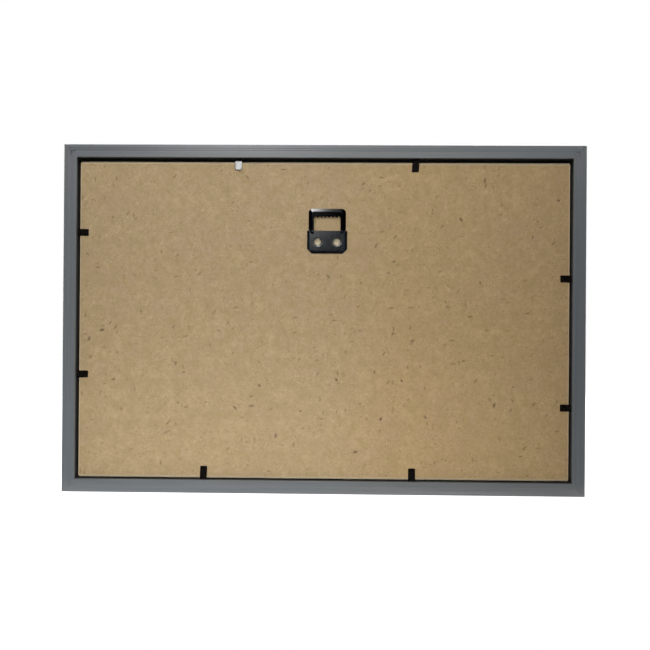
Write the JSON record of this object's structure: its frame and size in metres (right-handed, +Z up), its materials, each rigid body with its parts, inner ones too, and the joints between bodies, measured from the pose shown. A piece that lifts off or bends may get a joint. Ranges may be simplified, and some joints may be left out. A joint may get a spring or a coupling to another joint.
{
  "type": "picture frame",
  "caption": "Back-loading landscape picture frame with mitred plastic rails, glass front, hardboard back, bendable retaining tabs and a sawtooth hanger for a wall nail.",
  "frame": {"origin": "the nail: the point on the wall plane, which holds the rails' back faces, behind the root of the hanger's middle notch", "axes": "+X to the right seen from behind and along the long rails, +Y from the wall out to the room, +Z up as the frame hangs"},
  "size_m": [0.4584, 0.018, 0.306],
  "materials": {
    "moulding": "satin grey extruded polystyrene with lengthwise die lines",
    "hardboard": "raw tan hardboard with fine fibres and dark flecks",
    "hanger_enamel": "satin black enamel on pressed steel",
    "tab_enamel": "glossy black enamel on spring-temper steel strip",
    "nail_steel": "bare rolled steel",
    "glass": "clear float glass",
    "paper": "plain uncoated white paper, bare"
  },
  "bodies": {
    "frame": {"rail_bottom": "moulding", "rail_left": "moulding", "rail_top": "moulding", "rail_right": "moulding", "corner_nail_bottom_left": "nail_steel", "corner_nail_top_left": "nail_steel", "corner_nail_top_right": "nail_steel", "corner_nail_bottom_right": "nail_steel", "glazing": "glass", "insert_sheet": "paper", "backing_board": "hardboard", "hanger": "hanger_enamel", "tab_shank_top_left": "tab_enamel", "tab_shank_top_right": "tab_enamel", "tab_shank_left_upper": "tab_enamel", "tab_shank_left_lower": "tab_enamel", "tab_shank_bottom_left": "tab_enamel", "tab_shank_bottom_right": "tab_enamel", "tab_shank_right_upper": "tab_enamel", "tab_shank_right_lower": "tab_enamel"},
    "tab_top_left": {"tab_leaf_top_left": "tab_enamel"},
    "tab_top_right": {"tab_leaf_top_right": "tab_enamel"},
    "tab_left_upper": {"tab_leaf_left_upper": "tab_enamel"},
    "tab_left_lower": {"tab_leaf_left_lower": "tab_enamel"},
    "tab_bottom_left": {"tab_leaf_bottom_left": "tab_enamel"},
    "tab_bottom_right": {"tab_leaf_bottom_right": "tab_enamel"},
    "tab_right_upper": {"tab_leaf_right_upper": "tab_enamel"},
    "tab_right_lower": {"tab_leaf_right_lower": "tab_enamel"}
  },
  "joints": [
    {"name": "bend_top_left", "type": "hinge", "parent": "frame", "child": "tab_top_left", "pos_m": [-0.0787, 0.00647, 0.05003], "axis": [-1, 0, 0], "range_deg": [-8, 77]},
    {"name": "bend_top_right", "type": "hinge", "parent": "frame", "child": "tab_top_right", "pos_m": [0.0779, 0.00647, 0.05003], "axis": [-1, 0, 0], "range_deg": [0, 85]},
    {"name": "bend_left_upper", "type": "hinge", "parent": "frame", "child": "tab_left_upper", "pos_m": [-0.22043, 0.00647, -0.0155], "axis": [0, 0, -1], "range_deg": [0, 85]},
    {"name": "bend_left_lower", "type": "hinge", "parent": "frame", "child": "tab_left_lower", "pos_m": [-0.22043, 0.00647, -0.1409], "axis": [0, 0, -1], "range_deg": [0, 85]},
    {"name": "bend_bottom_left", "type": "hinge", "parent": "frame", "child": "tab_bottom_left", "pos_m": [-0.1079, 0.00647, -0.23242], "axis": [1, 0, 0], "range_deg": [0, 85]},
    {"name": "bend_bottom_right", "type": "hinge", "parent": "frame", "child": "tab_bottom_right", "pos_m": [0.0757, 0.00647, -0.23242], "axis": [1, 0, 0], "range_deg": [0, 85]},
    {"name": "bend_right_upper", "type": "hinge", "parent": "frame", "child": "tab_right_upper", "pos_m": [0.21443, 0.00647, -0.0541], "axis": [0, 0, 1], "range_deg": [0, 85]},
    {"name": "bend_right_lower", "type": "hinge", "parent": "frame", "child": "tab_right_lower", "pos_m": [0.21443, 0.00647, -0.1673], "axis": [0, 0, 1], "range_deg": [0, 85]}
  ]
}
